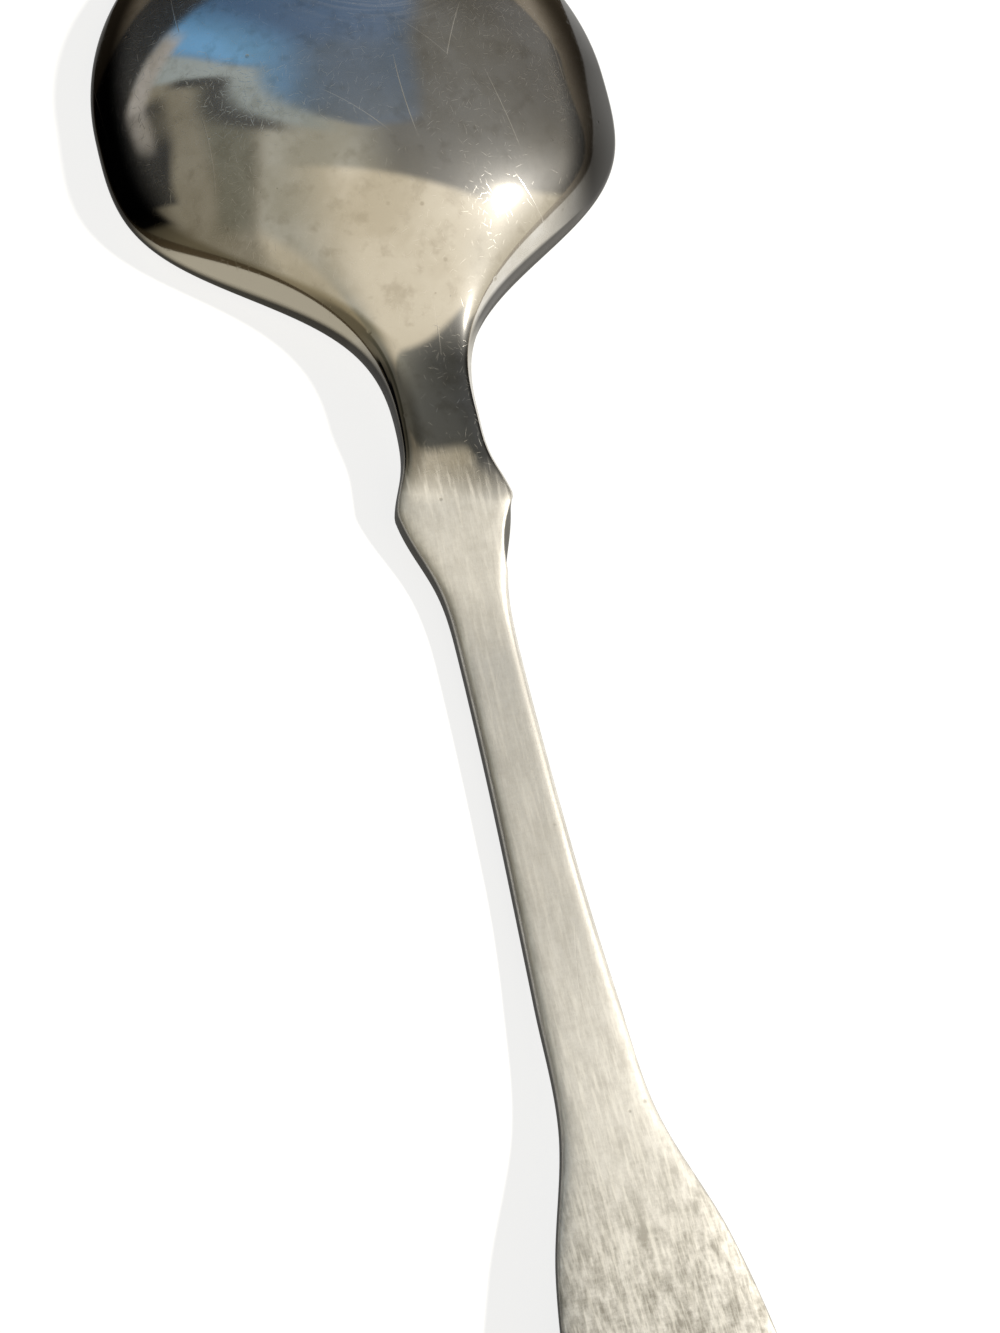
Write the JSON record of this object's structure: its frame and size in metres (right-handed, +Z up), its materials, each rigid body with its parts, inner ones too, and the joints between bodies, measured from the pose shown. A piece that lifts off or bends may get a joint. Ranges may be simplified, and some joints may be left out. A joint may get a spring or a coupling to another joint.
{
  "type": "serving spoon",
  "caption": "Stainless steel serving spoon with a round deep bowl, small points below the neck and a slim fiddle-shaped handle, lying face down.",
  "frame": {"origin": "on the table under the middle of the spoon's length and width, with the spoon lying face down", "axes": "+Y along the spoon towards the bowl's tip, +Z up out of the back of the spoon, +X across it to the right when the bowl points away"},
  "size_m": [0.0606, 0.201, 0.0154],
  "materials": {
    "polished_steel": "polished stainless steel with fine wiping scratches",
    "satin_steel": "tumbled satin stainless steel with lengthwise scratches"
  },
  "bodies": {
    "root": {"bowl": "polished_steel", "handle": "satin_steel"}
  },
  "joints": []
}
